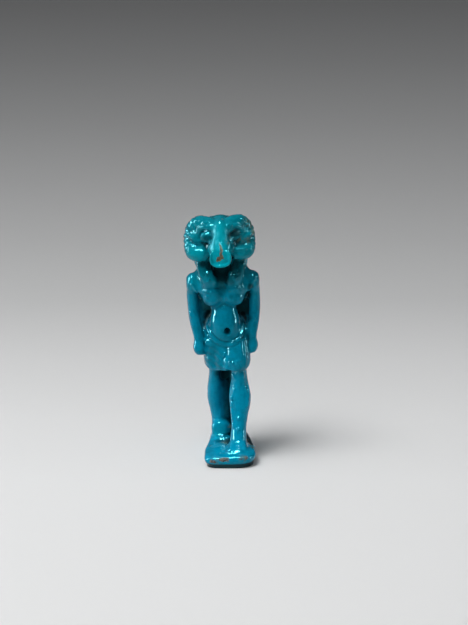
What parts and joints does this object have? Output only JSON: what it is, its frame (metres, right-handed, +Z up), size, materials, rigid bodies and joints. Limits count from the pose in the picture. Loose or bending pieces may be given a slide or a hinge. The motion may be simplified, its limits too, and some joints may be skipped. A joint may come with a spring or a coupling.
{
  "type": "khnum amulet",
  "caption": "Small glazed amulet of a striding ram-headed god on a base, with a back pillar pierced for a cord.",
  "frame": {"origin": "middle of the flat underside, on the surface that the amulet stands on", "axes": "+Z up, -Y to the figure's front, +X to the figure's left"},
  "size_m": [0.0137, 0.0165, 0.0446],
  "materials": {
    "turquoise_glaze": "thick glossy glaze, worn to the brown body on the nose and the base's front edge"
  },
  "bodies": {
    "root": {"khnum_amulet": "turquoise_glaze"}
  },
  "joints": []
}
